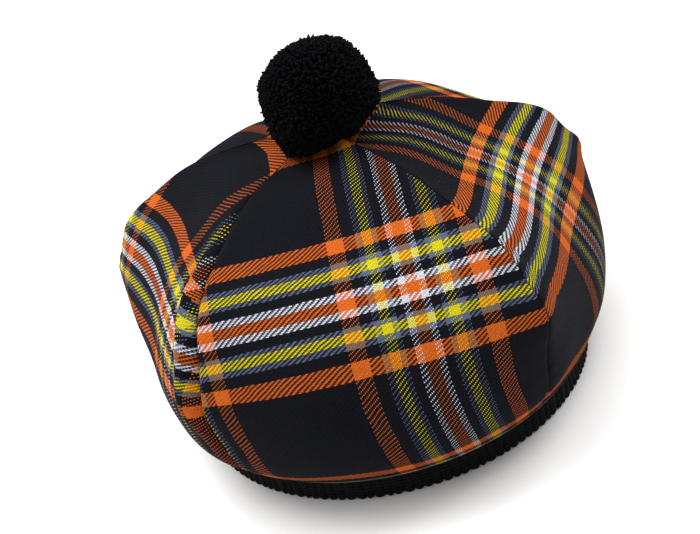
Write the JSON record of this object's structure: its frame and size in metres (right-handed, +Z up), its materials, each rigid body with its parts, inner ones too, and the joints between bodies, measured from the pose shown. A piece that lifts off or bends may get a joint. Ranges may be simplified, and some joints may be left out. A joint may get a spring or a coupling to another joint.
{
  "type": "tam o shanter hat",
  "caption": "Round tartan tam o' shanter with a gored crown, a ribbed knit headband and a yarn pompom on top.",
  "frame": {"origin": "middle of the hat's box, on the surface that the headband's lower edge rests on", "axes": "+Z up through the pompom, -Y towards the front panel"},
  "size_m": [0.2388, 0.2308, 0.1629],
  "materials": {
    "tartan_cloth": "woven wool twill in a tartan check",
    "rib_knit": "black rib knit",
    "pompom_yarn": "cut black yarn"
  },
  "bodies": {
    "root": {"crown_panel_1": "tartan_cloth", "crown_panel_2": "tartan_cloth", "crown_panel_3": "tartan_cloth", "crown_panel_4": "tartan_cloth", "crown_panel_5": "tartan_cloth", "headband": "rib_knit", "pompom": "pompom_yarn"}
  },
  "joints": []
}
